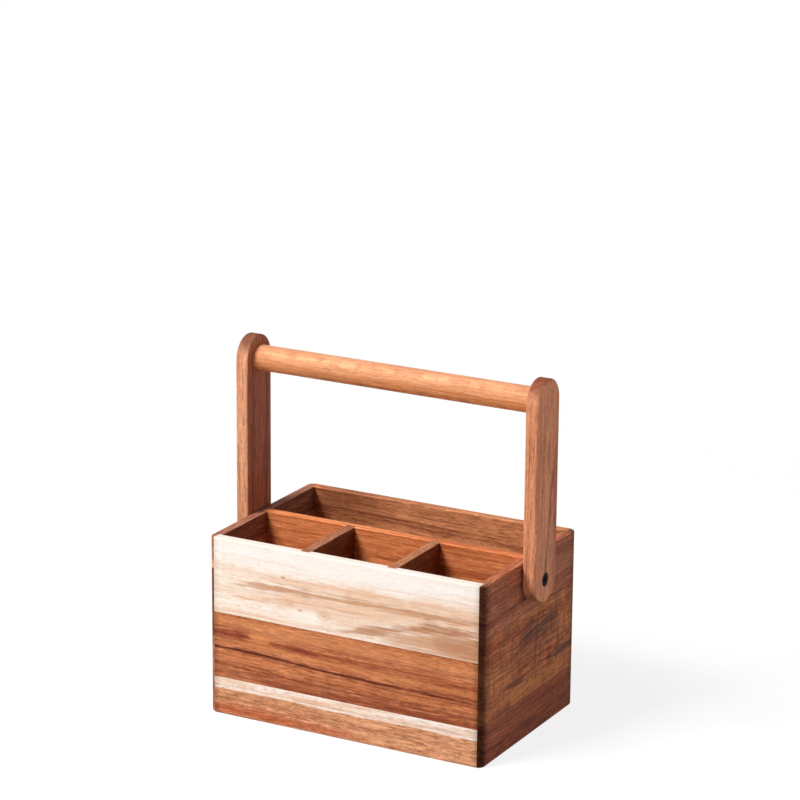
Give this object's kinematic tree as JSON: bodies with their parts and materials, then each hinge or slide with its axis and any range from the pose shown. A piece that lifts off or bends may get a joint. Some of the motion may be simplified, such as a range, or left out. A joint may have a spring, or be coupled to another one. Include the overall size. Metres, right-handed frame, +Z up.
{
  "type": "utensil caddy",
  "caption": "Wooden utensil caddy: a glued box with short front cells, a long back cell and a swinging carrying handle with a round grip.",
  "frame": {"origin": "centre of the bounding box's bottom, on the table under the middle of the box", "axes": "+X along the front to the viewer's right, +Y to the back, +Z up"},
  "size_m": [0.2302, 0.138, 0.2519],
  "materials": {
    "cream_sapwood": "satin, oiled: pale sapwood with brown streaks",
    "streaky_heartwood": "satin, oiled: orange-brown with dark streaks",
    "banded_heartwood": "satin, oiled: light brown with a pale edge",
    "plain_heartwood": "satin, oiled: plain straight-grained brown",
    "figured_heartwood": "satin, oiled: figured brown with dark smudges",
    "dark_heartwood": "satin, oiled: dark reddish brown",
    "divider_wood": "satin, oiled: bright orange-brown",
    "arm_wood": "satin, oiled: grey-brown with darker lines",
    "grip_wood": "satin, oiled: golden brown",
    "black_steel": "black, semi-gloss",
    "washer_nylon": "matte black"
  },
  "bodies": {
    "box": {"front_top_board": "cream_sapwood", "front_middle_board": "streaky_heartwood", "front_bottom_board": "banded_heartwood", "right_top_board": "plain_heartwood", "right_middle_board": "figured_heartwood", "right_bottom_board": "dark_heartwood", "left_top_board": "banded_heartwood", "left_middle_board": "dark_heartwood", "left_bottom_board": "plain_heartwood", "back_top_board": "plain_heartwood", "back_middle_board": "streaky_heartwood", "back_bottom_board": "figured_heartwood", "floor_front_board": "plain_heartwood", "floor_back_board": "streaky_heartwood", "long_divider": "divider_wood", "short_divider_1": "divider_wood", "short_divider_2": "divider_wood", "left_pivot_screw": "black_steel", "right_pivot_screw": "black_steel", "left_washer": "washer_nylon", "right_washer": "washer_nylon"},
    "handle": {"left_arm": "arm_wood", "right_arm": "arm_wood", "grip": "grip_wood"}
  },
  "joints": [
    {"name": "handle_swing", "type": "hinge", "parent": "box", "child": "handle", "pos_m": [0, 0, 0.1135], "axis": [1, 0, 0], "range_deg": [-140, 140]}
  ]
}
